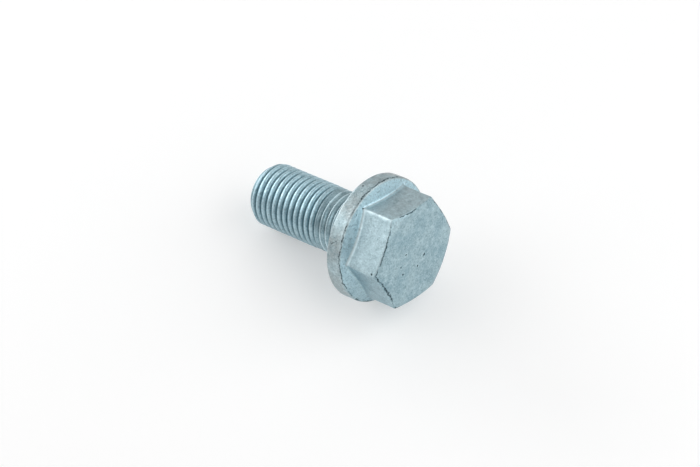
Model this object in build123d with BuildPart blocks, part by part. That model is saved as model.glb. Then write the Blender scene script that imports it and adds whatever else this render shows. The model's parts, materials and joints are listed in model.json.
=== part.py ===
"""Hexagon flange bolt, M14 fine thread, lying down. Millimetres, +Z up.

The bolt is one cold-headed and thread-rolled piece. It lies on two points, the lower rim of
its flange and the lower edge of its point, so its axis climbs towards the head. The ground
is z = 0, and the origin is under the middle of the bolt. The threaded length is modelled at
the diameter over its crests.
"""

import os
from math import asin, atan2, cos, hypot, radians, sin, tan

from build123d import *

os.makedirs("parts", exist_ok=True)

# Shank. Heights count along the axis from the bearing face, towards the head.
thread_diameter = 13.8  # over the crests of an M14 thread
shank_length = 28.5
point_bevel = 1.25  # radial depth of the bevel on the point
point_angle = 45.0  # of the bevel, from the axis
neck_step = 0.4  # radial, from the crests down to the plain neck of the rolled blank
neck_length = 2.5
run_out_length = 3.0  # where the crests fall to the neck
under_head_flare = 0.6  # radial, where the neck opens into the bearing face

# Hexagon
across_flats = 21.0
head_height = 12.4
hexagon_turn = 17.2  # degrees, from the upper side of the axis to the nearest corner
hexagon_edge_radius = 0.4
chamfer_inset = 0.4  # the top face is a round, this far inside the flats
chamfer_angle = 22.0  # from the top face
foot_radius = 0.7  # fillet between the hexagon and the cone

# Flange
flange_margin = 1.43  # from the corners of the hexagon out to the rim
rim_height = 3.5
rim_edge_radius = 0.5  # on the edge beside the bearing face
rim_top_bevel = 0.3
flange_slope = 22.0  # degrees, of the cone that rises from the rim to the hexagon

# Fitted values
thread_radius = thread_diameter / 2
point_radius = thread_radius - point_bevel
neck_radius = thread_radius - neck_step
corner_radius = across_flats / 2 / cos(radians(30))
top_radius = across_flats / 2 - chamfer_inset
chamfer_drop = (corner_radius - top_radius) * tan(radians(chamfer_angle))
flange_radius = corner_radius + flange_margin
rim_top_rise = rim_top_bevel * tan(radians(flange_slope))
cone_height = rim_height + flange_radius * tan(radians(flange_slope))
bevel_height = point_bevel / tan(radians(point_angle))

# The rest position: the rim's round and the end of the threaded length touch the ground.
round_circle = flange_radius - rim_edge_radius
reach = rim_edge_radius + shank_length - bevel_height
drop = round_circle - thread_radius
tilt = atan2(drop, reach) + asin(rim_edge_radius / hypot(reach, drop))
bearing_z = round_circle * cos(tilt) + rim_edge_radius * (1 - sin(tilt))
head_end_x = head_height * cos(tilt) + top_radius * sin(tilt)
point_end_x = -shank_length * cos(tilt) - point_radius * sin(tilt)
bearing_x = -(head_end_x + point_end_x) / 2

# The bearing face, with x on the upper side of the axis and z from the point to the head
bearing = Plane(
    origin=(bearing_x, 0, bearing_z),
    x_dir=(-sin(tilt), 0, cos(tilt)),
    z_dir=(cos(tilt), 0, sin(tilt)),
)
bolt_axis = Axis(bearing.origin, bearing.z_dir)
# A plane through the axis for turned profiles, with x as the radius and y as the height
turning = Plane(origin=bearing.origin, x_dir=bearing.x_dir, z_dir=-bearing.y_dir)

with BuildPart() as flange_bolt:
    # Hexagon, with its six long edges rounded as the die leaves them
    with BuildSketch(bearing.offset(rim_height / 2)):
        RegularPolygon(corner_radius, 6, rotation=hexagon_turn)
    extrude(amount=head_height - rim_height / 2)
    fillet(flange_bolt.edges().filter_by(bolt_axis), hexagon_edge_radius)

    # One cone chamfers the six corners and leaves a round on the top face.
    with BuildSketch(turning):
        with BuildLine():
            Polyline(
                (0, 0),
                (corner_radius, 0),
                (corner_radius, head_height - chamfer_drop),
                (top_radius, head_height),
                (0, head_height),
                close=True,
            )
        make_face()
    revolve(axis=bolt_axis, mode=Mode.INTERSECT)

    # Flange: a thick rim under a shallow cone that climbs to the hexagon
    with BuildSketch(turning):
        with BuildLine():
            FilletPolyline(
                (0, 0),
                (flange_radius, 0),
                (flange_radius, rim_height - rim_top_bevel),
                (flange_radius - rim_top_bevel, rim_height + rim_top_rise),
                (0, cone_height),
                radius=(0, rim_edge_radius, 0, 0, 0),
                close=True,
            )
        make_face()
    revolve(axis=bolt_axis)

    # The foot of the hexagon flows into the cone.
    new_edges = flange_bolt.edges(Select.LAST)
    foot = new_edges.filter_by(GeomType.HYPERBOLA) + new_edges.filter_by(GeomType.BSPLINE)
    fillet(foot, foot_radius)

    # Shank: bevelled point, threaded length, run-out, plain neck and its flare under the head
    with BuildSketch(turning):
        with BuildLine():
            Polyline(
                (0, rim_height / 2),
                (0, -shank_length),
                (point_radius, -shank_length),
                (thread_radius, bevel_height - shank_length),
                (thread_radius, -neck_length - run_out_length),
                (neck_radius, -neck_length),
                (neck_radius, -under_head_flare),
                (neck_radius + under_head_flare, 0),
                (neck_radius + under_head_flare, rim_height / 2),
                close=True,
            )
        make_face()
    revolve(axis=bolt_axis)

flange_bolt.part.label = "flange_bolt"
export_step(flange_bolt.part, "parts/flange_bolt.step")
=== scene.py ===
"""The looks of a zinc-plated hexagon flange bolt that lies on its flange rim and its point.

The bolt is one forged and thread-rolled piece, so one closed mesh stands for it. The mesh is a
grid of columns round the bolt's axis and rows from the end of the point, up the thread and over
the flange and the hexagon, to the middle of the head's top face. Bolt coordinates are in
millimetres: x on the upper side of the axis, y towards the side that faces the camera, and z
along the axis from the bearing face towards the head. Round the axis, from x towards y, a turn
is in degrees and an angle in radians.
"""

import json
from math import atan2, ceil, cos, floor, pi, radians, sin, tan

import bmesh
import bpy
import numpy as np
from mathutils import Matrix, Vector, noise

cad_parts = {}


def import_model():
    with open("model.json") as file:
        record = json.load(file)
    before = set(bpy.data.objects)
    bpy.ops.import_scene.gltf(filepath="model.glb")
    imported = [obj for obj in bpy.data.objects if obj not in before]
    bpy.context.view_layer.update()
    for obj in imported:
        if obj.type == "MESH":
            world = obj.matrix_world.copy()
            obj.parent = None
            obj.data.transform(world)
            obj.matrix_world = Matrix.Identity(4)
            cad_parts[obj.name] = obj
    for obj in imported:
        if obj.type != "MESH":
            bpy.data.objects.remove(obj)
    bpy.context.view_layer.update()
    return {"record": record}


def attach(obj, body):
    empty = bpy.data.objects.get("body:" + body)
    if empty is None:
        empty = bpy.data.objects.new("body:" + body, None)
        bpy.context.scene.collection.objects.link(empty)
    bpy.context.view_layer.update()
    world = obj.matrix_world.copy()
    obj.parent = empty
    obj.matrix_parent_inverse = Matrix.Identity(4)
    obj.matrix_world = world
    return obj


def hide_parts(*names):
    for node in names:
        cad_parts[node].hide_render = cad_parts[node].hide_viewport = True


MM = 0.001

# Shank, in millimetres
THREAD_PITCH = 1.5
CREST_RADIUS = 6.88
ROOT_RADIUS = 5.98
SHANK_LENGTH = 28.5
POINT_RADIUS = 5.65
POINT_SLOPE = 34.0  # degrees from the axis, of the bevel on the point
POINT_ROUND = 0.4  # at the rim of the end face
NECK_RADIUS = 6.5
RUN_OUT = (-10.5, -4.0)  # heights between which the rolling dies lift out of the thread
RUN_OUT_ROOT = 6.38
RUN_OUT_CREST = 6.74
LIPS = (-12.0, -7.5)  # heights between which the crests thin to lips beside the grooves
THREAD_END = -2.7  # height of the last trace of the thread, under the head
FLARE_RADIUS = 0.6  # fillet between the neck and the bearing face
GROOVE_HEIGHT = -24.82  # of one groove, at the turn below
GROOVE_TURN = 37.9
ROW_SNAP = 0.02  # rows nearer than this to an end of the thread lie on it

# The thread's section from one groove's middle to the next, towards the head: distance, then
# height as a share of the depth, where the thread is full and where it runs out to a lip
THREAD_SECTION = (
    (0.00, 0.00, 0.00),
    (0.09, 0.03, 0.00),
    (0.26, 0.60, 1.00),
    (0.36, 0.88, 0.96),
    (0.48, 0.98, 0.60),
    (0.75, 1.00, 0.50),
    (1.02, 0.98, 0.42),
    (1.14, 0.88, 0.34),
    (1.24, 0.60, 0.16),
    (1.41, 0.03, 0.00),
)

# Head, in millimetres
ACROSS_FLATS = 21.0
HEAD_HEIGHT = 12.4
HEXAGON_TURN = 17.2  # of the corner nearest to the upper side
CORNER_ROUND = 0.5
TOP_RADIUS = 10.1
CHAMFER_SLOPE = 22.0  # degrees, from the top face
TOP_EDGE_ROUND = 0.22
FOOT_ROUND = 0.7
FLANGE_RADIUS = 13.52
RIM_HEIGHT = 3.5
BEARING_ROUND = 0.5
RIM_ROUND = 0.45
FLANGE_SLOPE = 22.0  # degrees, of the cone between the rim and the hexagon

# Grid: columns round the axis, and rows on each stretch of the outline
COLUMNS = 276
CORNER_CROWDING = 4.0  # extra density of the columns at the hexagon's corners
CORNER_SPREAD = 1.2  # degrees
END_ROWS = 8
POINT_ROWS = 4
NECK_ROWS = 7
BEARING_ROWS = 8
ROUND_ROWS = 5
RIM_ROWS = 14
CONE_ROWS = 14
FOOT_ROWS = 7
WALL_ROWS = 22
TOP_EDGE_ROWS = 4
CHAMFER_ROWS = 5
TOP_ROWS = 56
MERGE_DISTANCE = 1e-4  # millimetres

# Unevenness: height and size of its waves in millimetres, and seed
FORGING_WAVES = (0.04, 4.5, 1)
FORGING_GRAIN = (0.014, 0.7, 2)
ROLLING_GRAIN = (0.012, 0.8, 11)

# The crack along the head's top edges, where the forging dies part: turn, and distance
# inwards of the edge in millimetres
EDGE_CRACK = (
    (-180, 0.10),
    (0, 0.20),
    (9, 0.25),
    (30, 0.05),
    (43, 0.00),
    (56, 0.05),
    (71, 0.30),
    (98, 0.35),
    (180, 0.10),
)

# The share of it that shows, and how much more between two turns: first, last, softness, share
EDGE_SHOWN = 0.3
EDGE_SHOWN_MORE = ((-165, -40, 6, 0.3), (36, 74, 12, 0.45), (76, 124, 6, 0.5), (-20, 12, 12, 0.45))

# The torn fold that the trimmed rim keeps, in the same terms
FOLD = (
    (-180, 0.10),
    (-90, -0.20),
    (-2, -0.23),
    (61, 0.04),
    (88, 0.34),
    (120, 0.40),
    (180, 0.10),
)
FOLD_SHOWN = 0.45
FOLD_SHOWN_MORE = ((50, 130, 12, 0.3), (-60, 6, 12, 0.35))

# The scar that climbs the rim's band between two heights, in millimetres
SCAR_HEIGHTS = (0.9, 2.4)
SCAR_TURN = 58.2  # at the height below
SCAR_HEIGHT = 1.2
SCAR_LEAN = 3.2  # degrees for each millimetre
SCAR_SHOWN = 0.9
SCAR_REACH = 1.0

# All cracks and nicks, in millimetres
CRACK_DEPTH = 0.07
CRACK_WIDTH = 0.2
CRACK_REACH = 1.5  # farther from its edge than this, no crack shows
FARTHEST = 3.0  # distances from the cracks are kept up to this
SLOPE_FACTOR = 0.67  # with it, radius and height add up to the way along a slope of 22 degrees
FOLD_TOP = 8.0  # height below which the cracks belong to the fold
PIT_DEPTH = 0.12
LIP_HIGHLIGHT_PLACE = 1.7  # of the painted highlight on the lip round a nick, in the nick's radii

# Pits and nicks: place in bolt coordinates, and radius
NICKS = (
    (-1.9, -2.1, 12.4, 0.36),
    (1.9, 2.7, 12.4, 0.28),
    (0.0, 4.8, 12.4, 0.24),
    (-3.1, 0.2, 12.4, 0.28),
    (-2.0, 4.7, 12.4, 0.30),
    (11.7, 3.8, 4.1, 0.20),
    (2.9, 11.5, 10.8, 0.22),
    (10.5, 4.4, 11.9, 0.24),
    (13.5, -0.2, 1.15, 0.26),
    (13.4, 1.8, 3.2, 0.24),
    (9.95, -8.25, 3.85, 0.26),
    (9.0, -8.5, 4.1, 0.22),
    (11.3, 5.7, 4.0, 0.22),
)

# Wear, painted light and the finish: where their regions start, in millimetres
HEAD_START = 0.3  # above the bearing face
FLATS_START = 0.5  # above the cone
FLATS_DEPTH = 0.04  # of the surface that counts as the flats
THREAD_MARGIN = 0.5  # from the end face, and past the thread's last trace

# Finish, with painted shade and painted highlights, in linear colour
ZINC_PALE = (0.40, 0.55, 0.60, 1)
ZINC_DEEP = (0.31, 0.46, 0.52, 1)
# Paler blue zinc of the thick plating and of a painted highlight
ZINC_BLUE_AND_SHEEN = (0.46, 0.66, 0.74, 1)
ZINC_DARK = (0.12, 0.20, 0.24, 1)
ZINC_THIN = (0.37, 0.43, 0.44, 1)
# Bright zinc of the light mottling, of the wear and of the painted highlights
ZINC_WORN_AND_HIGHLIGHT = (0.74, 0.90, 0.95, 1)
# Painted shade in the thread's grooves
GROOVE_SHADE = (0.06, 0.13, 0.16, 1)
# Dirt and painted shade in the cracks and pits
DIRT_AND_SHADE = (0.03, 0.06, 0.075, 1)
METALLIC = 0.9
ROUGHNESS = (0.38, 0.48)
ROUGHEST = 0.85  # in the dirt and painted shade of the cracks and pits
BUMP_STRENGTH = 0.55
BUMP_HEIGHT = 0.08  # millimetres

# Stage, in metres
FLOOR_COLOUR = (0.71, 0.71, 0.71, 1)
FLOOR_LIFT = 0.33  # how much lighter the floor is seen than it is lit
FLOOR_HALF_WIDTH = 1.5
SKY = 0.35  # strength of the even light from all round
LAMP_DISTANCE = 0.5
LAMP_SIZE = 0.36

# Camera
CAMERA_AZIMUTH = 39.71  # degrees, from the front towards x
CAMERA_ELEVATION = 49.29  # degrees
CAMERA_LENS = 130.5  # millimetres, on a sensor of the width below
SENSOR_WIDTH = 36
BEARING_PLACE = (4.09, 0.22, 521.4)  # of the bearing face: mm right of, below and before the lens

# Lamps: name, azimuth and elevation like the camera's, and watts
LAMPS = (
    ("front_left", -45, 36, 0.62),
    ("left", -90, 12, 1.35),
    ("back", 225, 36, 0.25),
    ("back_right", 135, 36, 0.58),
    ("right", 90, 36, 0.5),
    ("overhead", 120, 62, 0.28),
)


def bolt_matrix(record):
    """Bolt coordinates in millimetres to the frame's metres."""
    face = next(m for m in record["mounts"] if m["name"] == "bearing_face")
    axis = -Vector(face["axis"]).normalized()
    upper = (Vector((0, 0, 1)) - axis * axis.z).normalized()
    side = axis.cross(upper)
    turned = Matrix((upper, side, axis)).transposed().to_4x4()
    return Matrix.Translation(Vector(face["pos_m"])) @ turned @ Matrix.Scale(MM, 4)


def column_angles():
    """The columns' angles in radians, crowded at the six corners."""
    fine = np.linspace(-30, 30, 6001)
    crowd = 1 + CORNER_CROWDING * np.exp(-((fine / CORNER_SPREAD) ** 2))
    share = np.concatenate(([0], np.cumsum((crowd[1:] + crowd[:-1]) / 2)))
    steps = np.arange(COLUMNS // 6) / (COLUMNS // 6)
    sector = np.interp(steps, share / share[-1], fine)
    angles = [HEXAGON_TURN + 60 * k + sector for k in range(6)]
    return np.radians(np.concatenate(angles))


def hexagon_radius(angle):
    """The distance from the axis to the hexagon's wall, with its corners rounded."""
    corner = np.radians(60)
    away = np.abs((angle - radians(HEXAGON_TURN) + corner / 2) % corner - corner / 2)
    flat = ACROSS_FLATS / 2 / np.cos(corner / 2 - away)
    centre = (ACROSS_FLATS / 2 - CORNER_ROUND) / cos(corner / 2)
    inside = np.maximum(CORNER_ROUND**2 - (centre * np.sin(away)) ** 2, 0)
    rounded = centre * np.cos(away) + np.sqrt(inside)
    tangent = corner / 2 - atan2(centre * sin(corner / 2), ACROSS_FLATS / 2)
    return np.where(away < tangent, rounded, flat)


def cone_height(radius):
    """The height of the flange's cone at a distance from the axis."""
    return RIM_HEIGHT + (FLANGE_RADIUS - radius) * tan(radians(FLANGE_SLOPE))


def chamfer_height(radius):
    """The height of the chamfer over the corners at a distance from the axis."""
    return HEAD_HEIGHT - (radius - TOP_RADIUS) * tan(radians(CHAMFER_SLOPE))


def line(start, end, count, last=False):
    """Rows of (radius, height) from start to end, without the end unless it is the last."""
    shares = np.linspace(0, 1, count + 1)[: count + 1 if last else count]
    return [[s + (e - s) * t for s, e in zip(start, end)] for t in shares]


def arc(centre, radius, first, final, count):
    """Rows on an arc, with its angles in degrees from the radius towards the height."""
    shares = np.radians(np.linspace(first, final, count + 1))
    return [[centre[0] + radius * cos(t), centre[1] + radius * sin(t)] for t in shares]


def smooth_step(value, low, high):
    """From 0 at low to 1 at high, with a level start and end."""
    share = np.clip((value - low) / (high - low), 0, 1)
    return share * share * (3 - 2 * share)


def thread_levels(height):
    """The radii of the thread's grooves and crests at a height."""
    fade = smooth_step(height, *RUN_OUT)
    end = smooth_step(height, RUN_OUT[1], THREAD_END)
    root = ROOT_RADIUS + (RUN_OUT_ROOT - ROOT_RADIUS) * fade
    crest = CREST_RADIUS + (RUN_OUT_CREST - CREST_RADIUS) * fade
    bevel = POINT_RADIUS + (height + SHANK_LENGTH) * tan(radians(POINT_SLOPE))
    root += (NECK_RADIUS - root) * end
    crest += (NECK_RADIUS - crest) * end
    return np.minimum(root, bevel), np.minimum(crest, bevel)


def thread_rows(angle):
    """Rows that follow the helix over the bevel on the point and the thread."""
    groove = GROOVE_HEIGHT - THREAD_PITCH * GROOVE_TURN / 360
    end = POINT_ROUND * (1 - sin(radians(POINT_SLOPE))) - SHANK_LENGTH
    first = floor((end - groove) / THREAD_PITCH) - 1
    final = ceil((THREAD_END - groove) / THREAD_PITCH)
    rows = []
    for coil in range(first, final + 1):
        for distance, full, faint in THREAD_SECTION:
            height = groove + THREAD_PITCH * (coil + angle / (2 * pi)) + distance
            height = np.where(height < end + ROW_SNAP, end, height)
            height = np.where(height > THREAD_END - ROW_SNAP, THREAD_END, height)
            share = full + (faint - full) * smooth_step(height, *LIPS)

            # The bevel on the point cuts the full thread off. On the head's half it runs out.
            root, crest = thread_levels(height)
            head_half = height > -SHANK_LENGTH / 2
            bottom = ROOT_RADIUS + (root - ROOT_RADIUS) * head_half
            top = CREST_RADIUS + (crest - CREST_RADIUS) * head_half
            rows.append([np.minimum(bottom + (top - bottom) * share, crest), height])
    return rows


def head_rows(angle):
    """Rows from the neck over the flange and the hexagon to the middle of the top face."""
    wall = hexagon_radius(angle)
    slope = radians(FLANGE_SLOPE)
    chamfer = radians(CHAMFER_SLOPE)

    # The neck flares into the bearing face.
    flare = NECK_RADIUS + FLARE_RADIUS
    bearing_edge = FLANGE_RADIUS - BEARING_ROUND
    rows = line((NECK_RADIUS, THREAD_END), (NECK_RADIUS, -FLARE_RADIUS), NECK_ROWS)
    rows += arc((flare, -FLARE_RADIUS), FLARE_RADIUS, 180, 90, ROUND_ROWS)
    rows += line((flare, 0), (bearing_edge, 0), BEARING_ROWS)[1:]
    rows += arc((bearing_edge, BEARING_ROUND), BEARING_ROUND, -90, 0, ROUND_ROWS)

    # The rim's outer edge turns into the cone.
    rim_turn = 90 - FLANGE_SLOPE
    rim_tangent = RIM_ROUND * tan(radians(rim_turn / 2))
    rim_centre = (FLANGE_RADIUS - RIM_ROUND, RIM_HEIGHT - rim_tangent)
    rim_start = (FLANGE_RADIUS, BEARING_ROUND)
    rows += line(rim_start, (FLANGE_RADIUS, rim_centre[1]), RIM_ROWS)[1:]
    rows += arc(rim_centre, RIM_ROUND, 0, rim_turn, ROUND_ROWS)
    cone_start = [rim_centre[0] + RIM_ROUND * sin(slope), rim_centre[1] + RIM_ROUND * cos(slope)]

    # The cone flows into the wall.
    foot_tangent = FOOT_ROUND * tan(radians(rim_turn / 2))
    foot_centre = [wall + FOOT_ROUND, cone_height(wall) + foot_tangent]
    cone_end = [
        foot_centre[0] - FOOT_ROUND * sin(slope),
        foot_centre[1] - FOOT_ROUND * cos(slope),
    ]
    rows += line(cone_start, cone_end, CONE_ROWS)[1:]
    rows += arc(foot_centre, FOOT_ROUND, 180 + rim_turn, 180, FOOT_ROWS)

    # The wall turns into the chamfer, and the chamfer into the top face.
    edge_tangent = TOP_EDGE_ROUND * tan((pi / 2 - chamfer) / 2)
    edge_centre = [wall - TOP_EDGE_ROUND, chamfer_height(wall) - edge_tangent]
    rows += line([wall, foot_centre[1]], [wall, edge_centre[1]], WALL_ROWS)[1:]
    rows += arc(edge_centre, TOP_EDGE_ROUND, 0, 90 - CHAMFER_SLOPE, TOP_EDGE_ROWS)
    chamfer_start = [
        edge_centre[0] + TOP_EDGE_ROUND * sin(chamfer),
        edge_centre[1] + TOP_EDGE_ROUND * cos(chamfer),
    ]
    rows += line(chamfer_start, (TOP_RADIUS, HEAD_HEIGHT), CHAMFER_ROWS)[1:]
    rows += line((TOP_RADIUS, HEAD_HEIGHT), (0, HEAD_HEIGHT), TOP_ROWS, last=True)
    return rows


def end_rows():
    """Rows from the middle of the end face over its rounded rim."""
    end_radius = POINT_RADIUS - POINT_ROUND * tan(radians(45 - POINT_SLOPE / 2))
    centre = (end_radius, POINT_ROUND - SHANK_LENGTH)
    rows = line((0, -SHANK_LENGTH), (end_radius, -SHANK_LENGTH), END_ROWS)
    return rows + arc(centre, POINT_ROUND, -90, -POINT_SLOPE, POINT_ROWS)


def bolt_mesh(matrix):
    """The bolt's clean surface as one closed mesh, in metres."""
    angle = column_angles()
    end = end_rows()
    thread = thread_rows(angle)
    rows = end + thread + head_rows(angle)[1:]
    grid = np.empty((len(rows), COLUMNS, 3))
    for row, (radius, height) in zip(grid, rows):
        row[:, 0] = radius * np.cos(angle)
        row[:, 1] = radius * np.sin(angle)
        row[:, 2] = height

    # The thread's rows climb one pitch in a turn, so they meet the rows a pitch further on.
    index = np.arange(len(rows) * COLUMNS).reshape(len(rows), COLUMNS)
    seam = np.arange(len(rows))
    threaded = slice(len(end), len(end) + len(thread))
    seam[threaded] = np.minimum(seam[threaded] + len(THREAD_SECTION), threaded.stop - 1)
    index = np.concatenate((index, index[seam, :1]), 1)
    faces = np.stack((index[:-1, :-1], index[:-1, 1:], index[1:, 1:], index[1:, :-1]), -1)

    mesh = bpy.data.meshes.new("bolt")
    mesh.from_pydata(grid.reshape(-1, 3).tolist(), [], faces.reshape(-1, 4).tolist())
    work = bmesh.new()
    work.from_mesh(mesh)
    bmesh.ops.remove_doubles(work, verts=work.verts, dist=MERGE_DISTANCE)
    bmesh.ops.recalc_face_normals(work, faces=work.faces)
    work.to_mesh(mesh)
    work.free()
    mesh.transform(matrix)
    mesh.update()
    mesh.shade_smooth()
    return mesh


def fractal(points, size, seed, octaves=3):
    """Smooth random values about zero, for points in millimetres."""
    shift = Vector((seed * 17.3, seed * 5.1, seed * 9.7))
    places = (Vector(p) + shift for p in points / size)
    return np.array([noise.fractal(p, 1.0, 2.0, octaves) for p in places])


def window(angle, first, final, soft):
    """One between two turns, with soft ends."""
    middle = radians(first + final) / 2
    away = np.abs((angle - middle + pi) % (2 * pi) - pi)
    return np.clip((radians(final - first) / 2 - away) / radians(soft) + 0.5, 0, 1)


def near(distance, width, widths=1.3):
    """One close to a line, falling over one width to nothing at a number of widths from it."""
    return np.clip(widths - np.abs(distance) / width, 0, 1)


class Surface:
    """A mesh's points in bolt coordinates, and the regions of the bolt that they lie in."""

    def __init__(self, points):
        self.points = points
        self.radius = np.hypot(points[:, 0], points[:, 1])
        self.height = points[:, 2]
        self.angle = np.arctan2(points[:, 1], points[:, 0])
        self.wall = hexagon_radius(self.angle)

        self.head = self.height > HEAD_START
        self.flats = self.height > cone_height(self.wall) + FLATS_START
        self.flats &= self.radius > self.wall - FLATS_DEPTH
        self.upper_flat = window(self.angle, HEXAGON_TURN - 60, HEXAGON_TURN, 2)
        self.lower_flat = window(self.angle, HEXAGON_TURN, HEXAGON_TURN + 60, 2)

        self.thread = self.height > THREAD_MARGIN - SHANK_LENGTH
        self.thread &= self.height < THREAD_END + THREAD_MARGIN

        # From 0 in the thread's grooves to 1 on its crests, and from 0 to 1 as they thin to lips
        root, crest = thread_levels(self.height)
        self.crest = np.clip((self.radius - root) / np.maximum(crest - root, 0.05), 0, 1)
        self.lip = smooth_step(self.height, *LIPS)


def unevenness(surface):
    """How far the forging and the rolling leave each point above the true surface."""
    rise = np.zeros(len(surface.points))
    regions = (
        (surface.head, FORGING_WAVES),
        (surface.head, FORGING_GRAIN),
        (surface.thread, ROLLING_GRAIN),
    )
    for region, (height, size, seed) in regions:
        rise[region] += height * fractal(surface.points[region], size, seed)
    return rise


def past_edge(surface, radius, height):
    """How far each point lies inwards of an edge, up the wall below it and the slope above it."""
    return SLOPE_FACTOR * (radius - surface.radius) + surface.height - height


def share_shown(angle, everywhere, more):
    """The share of a crack that shows, with more of it between some turns."""
    extra = (share * window(angle, *turns) for *turns, share in more)
    return sum(extra, everywhere)


def seams(surface):
    """The distance from the cracks along the head's edges, and the share of them that shows."""
    turn = np.degrees(surface.angle)
    edge = past_edge(surface, surface.wall, chamfer_height(surface.wall))
    edge -= np.interp(turn, *zip(*EDGE_CRACK))
    fold = past_edge(surface, FLANGE_RADIUS, RIM_HEIGHT)
    fold -= np.interp(turn, *zip(*FOLD))
    scar_turn = SCAR_TURN - (surface.height - SCAR_HEIGHT) * SCAR_LEAN
    scar = (surface.angle - np.radians(scar_turn)) * FLANGE_RADIUS
    scarred = (surface.height > SCAR_HEIGHTS[0]) & (surface.height < SCAR_HEIGHTS[1])
    scarred &= np.abs(scar) < SCAR_REACH

    upper = surface.height > FOLD_TOP
    edge_shown = share_shown(surface.angle, EDGE_SHOWN, EDGE_SHOWN_MORE)
    fold_shown = share_shown(surface.angle, FOLD_SHOWN, FOLD_SHOWN_MORE)
    seam = np.where(scarred, scar, np.where(upper, edge, fold))
    shown = np.where(upper, edge_shown, fold_shown) * (np.abs(seam) < CRACK_REACH)
    shown = np.where(scarred, SCAR_SHOWN, shown)
    return np.clip(seam, -FARTHEST, FARTHEST), shown * surface.head


def nicks(surface):
    """The pits and nicks, and the painted highlights on the lips beside them, as shares."""
    pits = np.zeros(len(surface.points))
    lip_highlights = np.zeros(len(surface.points))
    for x, y, z, size in NICKS:
        away = np.linalg.norm(surface.points - (x, y, z), axis=1) / size

        # Random waves make the outline ragged and break the lip's painted highlight up.
        close = away < 4
        nearby = surface.points[close]
        away[close] += 0.6 * fractal(nearby, 0.45, 17)
        pits = np.maximum(pits, np.clip(1.3 - away, 0, 1))
        # The lip shows only as a painted highlight ring.
        lip = near(away - LIP_HIGHLIGHT_PLACE, 0.5, 1)
        lip[close] *= np.clip(0.2 + 1.5 * fractal(nearby, 0.6, 23), 0, 1)
        lip_highlights = np.maximum(lip_highlights, lip)
    return pits, lip_highlights


def thin_plating(surface):
    """Greyer zinc on the rim's band and on the two flats towards the camera."""
    band = np.clip((surface.radius - FLANGE_RADIUS + 0.35) / 0.2, 0, 1)
    band *= (surface.height > 0) & (surface.height < 4)
    flats = (0.6 * surface.upper_flat + 0.3 * surface.lower_flat) * surface.flats
    return np.maximum(band, flats)


def blue_plating_and_sheen(surface):
    """Bluer zinc on the cone and on the thread's crests; its greater share on the upper side is a
    painted highlight.
    """
    cone = (surface.radius > surface.wall + 0.2) & (surface.radius < FLANGE_RADIUS - 0.3)
    cone &= surface.height > 2
    crests = surface.crest**2 * surface.thread * (1 - 0.3 * surface.lip)
    # Painted highlight: more of the paler blue on the upper side of the cone and the crests.
    on_cone = (0.2 + 0.7 * window(surface.angle, -80, 95, 30)) * cone
    on_crests = (0.25 + 0.6 * window(surface.angle, -70, 75, 40)) * crests
    return np.maximum(on_cone, on_crests)


def corner_highlights(surface):
    """Painted highlights on the hexagon's corners, brightest on the one on the upper side."""
    turn = np.degrees(surface.angle) - HEXAGON_TURN
    nearest = (turn + 30) % 60 - 30
    faint = 0.3 * near(nearest, 1.4)
    bright = 0.85 * near(turn - 0.8, 1.7)
    return np.maximum(faint, bright) * surface.flats


def foot_highlight(surface):
    """Painted highlight along the fillet at the foot of the flats, strongest on the two flats
    beside the upper corner.
    """
    height = surface.height - cone_height(surface.wall) - 0.25
    away = np.hypot(surface.radius - surface.wall - 0.05, height)
    glint_share = surface.lower_flat + 0.5 * surface.upper_flat + 0.1
    return glint_share * near(away, 0.2, 1.9) * surface.head


def rim_highlight(surface):
    """A painted highlight on the rim's outer edge, in patches."""
    away = np.hypot(surface.radius - FLANGE_RADIUS + 0.08, surface.height - RIM_HEIGHT + 0.05)
    ring = np.stack((np.cos(surface.angle), np.sin(surface.angle), 0 * surface.angle), 1)
    glint_share = 0.2 + 0.75 * window(surface.angle, 28, 70, 12)
    glint_share *= np.clip(0.8 + 1.2 * fractal(ring * FLANGE_RADIUS, 2.0, 13), 0, 1)
    return glint_share * near(away, 0.26, 1.5)


def chamfer_highlight(surface):
    """A faint painted highlight inwards of the upper corner."""
    chamfer = (surface.radius > 9.9) & (surface.radius < surface.wall - 0.15)
    chamfer &= surface.height > HEAD_HEIGHT - 1.2
    return 0.12 * window(surface.angle, 2, 32, 14) * chamfer


def wear_and_highlights(surface, lip_highlights):
    """Bright marks: wear from handling on the flats, and painted highlights on the nicks' lips,
    the thread's thinned lips, the corners, the foot's fillet, the rim's edge and the chamfer.
    """
    flats = 0.15 * (surface.upper_flat + surface.lower_flat) * surface.flats
    # Painted highlight on the crests where they thin to lips.
    thread_lip_glints = np.clip(surface.crest * 5 - 4, 0, 1) * surface.lip * surface.thread
    places = (
        0.6 * lip_highlights,
        flats,
        thread_lip_glints,
        corner_highlights(surface),
        foot_highlight(surface),
        rim_highlight(surface),
        chamfer_highlight(surface),
    )
    return np.maximum.reduce(places)


def vectors(items, name):
    """A mesh collection's vectors, with a row for each item."""
    flat = np.empty(len(items) * 3)
    items.foreach_get(name, flat)
    return flat.reshape(-1, 3)


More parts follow.
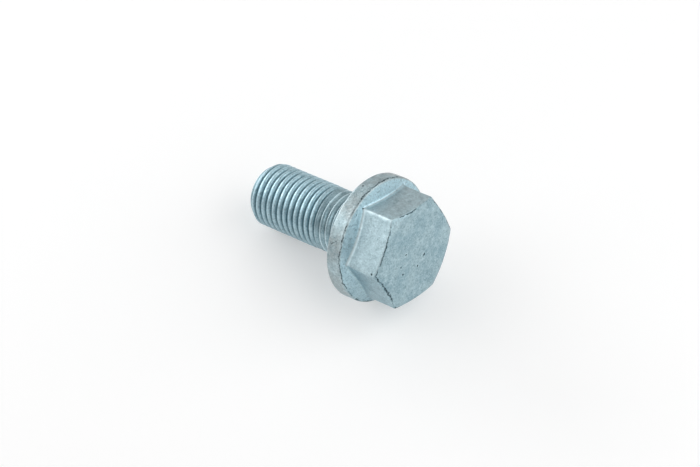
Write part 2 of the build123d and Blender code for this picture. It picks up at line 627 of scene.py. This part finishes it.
def weather(mesh, matrix):
    """Shape the unevenness, cracks and pits, and mark them, the finish, the painted shade in the
    thread's grooves and the painted highlights for the material.
    """
    world = vectors(mesh.vertices, "co")
    normals = vectors(mesh.vertex_normals, "vector")
    inverse = np.array(matrix.inverted())
    surface = Surface(world @ inverse[:3, :3].T + inverse[:3, 3])
    seam, shown = seams(surface)
    pits, lip_highlights = nicks(surface)
    rise = unevenness(surface)
    rise -= CRACK_DEPTH * shown * near(seam, CRACK_WIDTH)
    rise -= PIT_DEPTH * pits
    mesh.vertices.foreach_set("co", (world + normals * rise[:, None] * MM).ravel())

    # Painted shade: the thread's grooves darken towards their bottoms.
    groove_shade = 0.95 * (1 - surface.crest) ** 2 * (1 - 0.2 * surface.lip) * surface.thread
    marks = {
        "seam": seam,
        "shown": shown,
        "pits": pits,
        "groove_shade": groove_shade,
        "thin": thin_plating(surface),
        "blue_and_sheen": blue_plating_and_sheen(surface),
        "wear_and_sheen": wear_and_highlights(surface, lip_highlights),
    }
    for name, values in marks.items():
        mesh.attributes.new(name, "FLOAT", "POINT").data.foreach_set("value", values)
    mesh.update()


def node(tree, kind, inputs=(), **settings):
    """A shader node, with its inputs set to values or linked to other nodes' outputs."""
    made = tree.nodes.new(kind)
    for name, value in settings.items():
        setattr(made, name, value)
    for name, value in dict(inputs).items():
        if isinstance(value, bpy.types.NodeSocket):
            tree.links.new(value, made.inputs[name])
        else:
            made.inputs[name].default_value = value
    return made


def mark(tree, name):
    """One of the marks that the mesh carries."""
    return node(tree, "ShaderNodeAttribute", attribute_name=name).outputs["Fac"]


def grain(tree, place, size, detail, seed=0.0):
    """Noise from 0 to 1 with features of a size in millimetres."""
    inputs = {"Vector": place, "W": seed, "Scale": 1 / (size * MM), "Detail": detail}
    return node(tree, "ShaderNodeTexNoise", inputs, noise_dimensions="4D").outputs[0]


def remap(tree, value, low, high, to_low=0.0, to_high=1.0):
    """The value, stretched from low and high to new limits and kept between them."""
    inputs = {"Value": value, "From Min": low, "From Max": high}
    inputs |= {"To Min": to_low, "To Max": to_high}
    return node(tree, "ShaderNodeMapRange", inputs).outputs[0]


def combine(tree, operation, first, second):
    """Two values joined by one of the Math node's operations."""
    return node(tree, "ShaderNodeMath", {0: first, 1: second}, operation=operation).outputs[0]


def tint(tree, share, under, over):
    """The colour over laid on the colour under, by a share from 0 to 1."""
    inputs = {0: share, 6: under, 7: over}
    return node(tree, "ShaderNodeMix", inputs, data_type="RGBA").outputs[2]


def crack_lines(tree, place, grit):
    """Thin jagged lines that wander along the seams and break off, in varied strength: dirt with
    painted shade in the cracks.
    """
    drift = combine(tree, "SUBTRACT", grain(tree, place, 1.2, 5.0, 6.0), 0.5)
    away = combine(tree, "ADD", mark(tree, "seam"), combine(tree, "MULTIPLY", drift, 1.4))
    narrow = remap(tree, combine(tree, "ABSOLUTE", away, 0.0), 0.06, 0.2, 1.0, 0.0)
    more = combine(tree, "MULTIPLY", mark(tree, "shown"), 0.3)
    broken = combine(tree, "ADD", grain(tree, place, 1.6, 3.0, 13.0), more)
    broken = remap(tree, broken, 0.6, 0.72)
    strength = remap(tree, grit, 0.35, 0.6, 0.35, 0.95)
    return combine(tree, "MULTIPLY", combine(tree, "MULTIPLY", narrow, broken), strength)


def ragged_pits(tree, grit):
    """The pits' dark colour, dirt with painted shade in the hollows, with their outlines broken up
    by fine grain.
    """
    ragged = combine(tree, "ADD", mark(tree, "pits"), combine(tree, "MULTIPLY", grit, 0.8))
    return remap(tree, ragged, 0.68, 1.1, 0.0, 0.85)


def zinc():
    """Blue-white passivated zinc: cloudy and greyer where it is thin, with dirt and painted shade
    in the cracks and pits, painted shade in the thread's grooves, and painted highlights.
    """
    material = bpy.data.materials.new("blue_white_zinc")
    material.use_nodes = True
    tree = material.node_tree
    shader = tree.nodes["Principled BSDF"]
    place = node(tree, "ShaderNodeTexCoord").outputs["Object"]
    cloud = grain(tree, place, 4.0, 5.0)
    blotch = grain(tree, place, 1.1, 3.0, 2.0)
    grit = grain(tree, place, 0.34, 3.0, 4.0)
    speck = grain(tree, place, 0.55, 2.0, 9.0)

    # The plating's own colours, and a painted highlight on the upper side
    colour = tint(tree, remap(tree, cloud, 0.38, 0.62), ZINC_DEEP, ZINC_PALE)
    # Bluer plating on the cone and crests, with a painted highlight on their upper side.
    colour = tint(tree, mark(tree, "blue_and_sheen"), colour, ZINC_BLUE_AND_SHEEN)
    patches = remap(tree, cloud, 0.62, 0.42, 0.45, 1.0)
    colour = tint(tree, combine(tree, "MULTIPLY", mark(tree, "thin"), patches), colour, ZINC_THIN)

    # Mottling: pattern, where it starts and is full, its greatest share, and its colour
    mottling = (
        (blotch, 0.54, 0.72, 0.34, ZINC_DARK),
        (blotch, 0.46, 0.28, 0.27, ZINC_WORN_AND_HIGHLIGHT),
        (grit, 0.52, 0.71, 0.53, ZINC_DARK),
        (grit, 0.46, 0.28, 0.34, ZINC_WORN_AND_HIGHLIGHT),
        (speck, 0.66, 0.72, 0.50, ZINC_DARK),
    )
    for pattern, start, full, share, over in mottling:
        colour = tint(tree, remap(tree, pattern, start, full, 0.0, share), colour, over)

    # Wear with painted highlights, painted shade in the grooves, and dirt with painted shade in
    # the cracks and pits lie over it.
    patches = remap(tree, blotch, 0.7, 0.5, 0.5, 1.0)
    # Wear and painted highlights lighten the marked places, in patches.
    colour = tint(tree, combine(tree, "MULTIPLY", mark(tree, "wear_and_sheen"), patches), colour, ZINC_WORN_AND_HIGHLIGHT)
    # Painted shade darkens the thread's grooves.
    colour = tint(tree, mark(tree, "groove_shade"), colour, GROOVE_SHADE)
    # Dirt and painted shade darken the cracks and pits.
    dirt_and_shade = combine(tree, "MAXIMUM", ragged_pits(tree, grit), crack_lines(tree, place, grit))
    colour = tint(tree, dirt_and_shade, colour, DIRT_AND_SHADE)
    tree.links.new(colour, shader.inputs["Base Color"])

    shader.inputs["Metallic"].default_value = METALLIC
    rough = combine(tree, "ADD", remap(tree, cloud, 0.3, 0.7, *ROUGHNESS), dirt_and_shade)
    tree.links.new(combine(tree, "MINIMUM", rough, ROUGHEST), shader.inputs["Roughness"])
    relief = {"Height": combine(tree, "ADD", grit, blotch)}
    relief |= {"Strength": BUMP_STRENGTH, "Distance": BUMP_HEIGHT * MM}
    bump = node(tree, "ShaderNodeBump", relief).outputs["Normal"]
    tree.links.new(bump, shader.inputs["Normal"])
    return material


def bolt(matrix):
    """The whole bolt, in place of the CAD model's."""
    mesh = bolt_mesh(matrix)
    weather(mesh, matrix)
    piece = bpy.data.objects.new("bolt", mesh)
    bpy.context.scene.collection.objects.link(piece)
    piece.data.materials.append(zinc())
    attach(piece, "root")
    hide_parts("flange_bolt")


def seen(tree):
    """One for rays that show a background: from the camera, off gloss and through glass."""
    path = node(tree, "ShaderNodeLightPath").outputs
    gloss = combine(tree, "MAXIMUM", path["Is Glossy Ray"], path["Is Transmission Ray"])
    return combine(tree, "MAXIMUM", path["Is Camera Ray"], gloss)


def white_floor():
    """Pale paper that is seen lighter than it is lit, so it looks white and keeps its shadows."""
    material = bpy.data.materials.new("white_floor")
    material.use_nodes = True
    tree = material.node_tree
    shader = tree.nodes["Principled BSDF"]
    shader.inputs["Base Color"].default_value = FLOOR_COLOUR
    shader.inputs["Roughness"].default_value = 0.9
    shader.inputs["Specular IOR Level"].default_value = 0.0
    shader.inputs["Emission Color"].default_value = (1, 1, 1, 1)
    lift = combine(tree, "MULTIPLY", seen(tree), FLOOR_LIFT)
    tree.links.new(lift, shader.inputs["Emission Strength"])
    return material


def floor_sheet():
    """A level sheet under the bolt, wide enough to fill every view."""
    half = FLOOR_HALF_WIDTH
    mesh = bpy.data.meshes.new("floor")
    corners = [(-half, -half, 0), (half, -half, 0), (half, half, 0), (-half, half, 0)]
    mesh.from_pydata(corners, [], [(0, 1, 2, 3)])
    mesh.materials.append(white_floor())
    sheet = bpy.data.objects.new("floor", mesh)
    bpy.context.scene.collection.objects.link(sheet)


def softbox(name, azimuth, elevation, watts):
    """A square lamp that faces the bolt from a direction in degrees."""
    data = bpy.data.lights.new(name, "AREA")
    data.size = LAMP_SIZE
    data.energy = watts
    lamp = bpy.data.objects.new(name, data)
    turn = radians(azimuth)
    rise = radians(elevation)
    away = Vector((sin(turn) * cos(rise), -cos(turn) * cos(rise), sin(rise)))
    lamp.location = away * LAMP_DISTANCE
    lamp.rotation_euler = away.to_track_quat("Z", "Y").to_euler()
    bpy.context.scene.collection.objects.link(lamp)


def camera(matrix):
    """A long lens that looks down on the bolt from the head's side."""
    turn = radians(CAMERA_AZIMUTH)
    rise = radians(CAMERA_ELEVATION)
    right = Vector((cos(turn), sin(turn), 0))
    forward = Vector((-sin(turn) * cos(rise), cos(turn) * cos(rise), -sin(rise)))
    down = forward.cross(right)
    data = bpy.data.cameras.new("camera")
    data.sensor_width = SENSOR_WIDTH
    data.lens = CAMERA_LENS
    data.clip_start = 0.01
    eye = bpy.data.objects.new("camera", data)
    aside, below, ahead = BEARING_PLACE
    place = matrix.translation - (right * aside + down * below + forward * ahead) * MM
    turned = Matrix((right, -down, -forward)).transposed().to_4x4()
    eye.matrix_world = Matrix.Translation(place) @ turned
    bpy.context.scene.collection.objects.link(eye)
    bpy.context.scene.camera = eye


def world():
    """An even white sky."""
    sky = bpy.data.worlds.new("studio")
    sky.use_nodes = True
    background = sky.node_tree.nodes["Background"].inputs
    background["Color"].default_value = (1, 1, 1, 1)
    background["Strength"].default_value = SKY
    bpy.context.scene.world = sky


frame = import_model()
place = bolt_matrix(frame["record"])
bolt(place)
floor_sheet()
for lamp in LAMPS:
    softbox(*lamp)
camera(place)
world()
bpy.context.scene.view_settings.view_transform = "Standard"
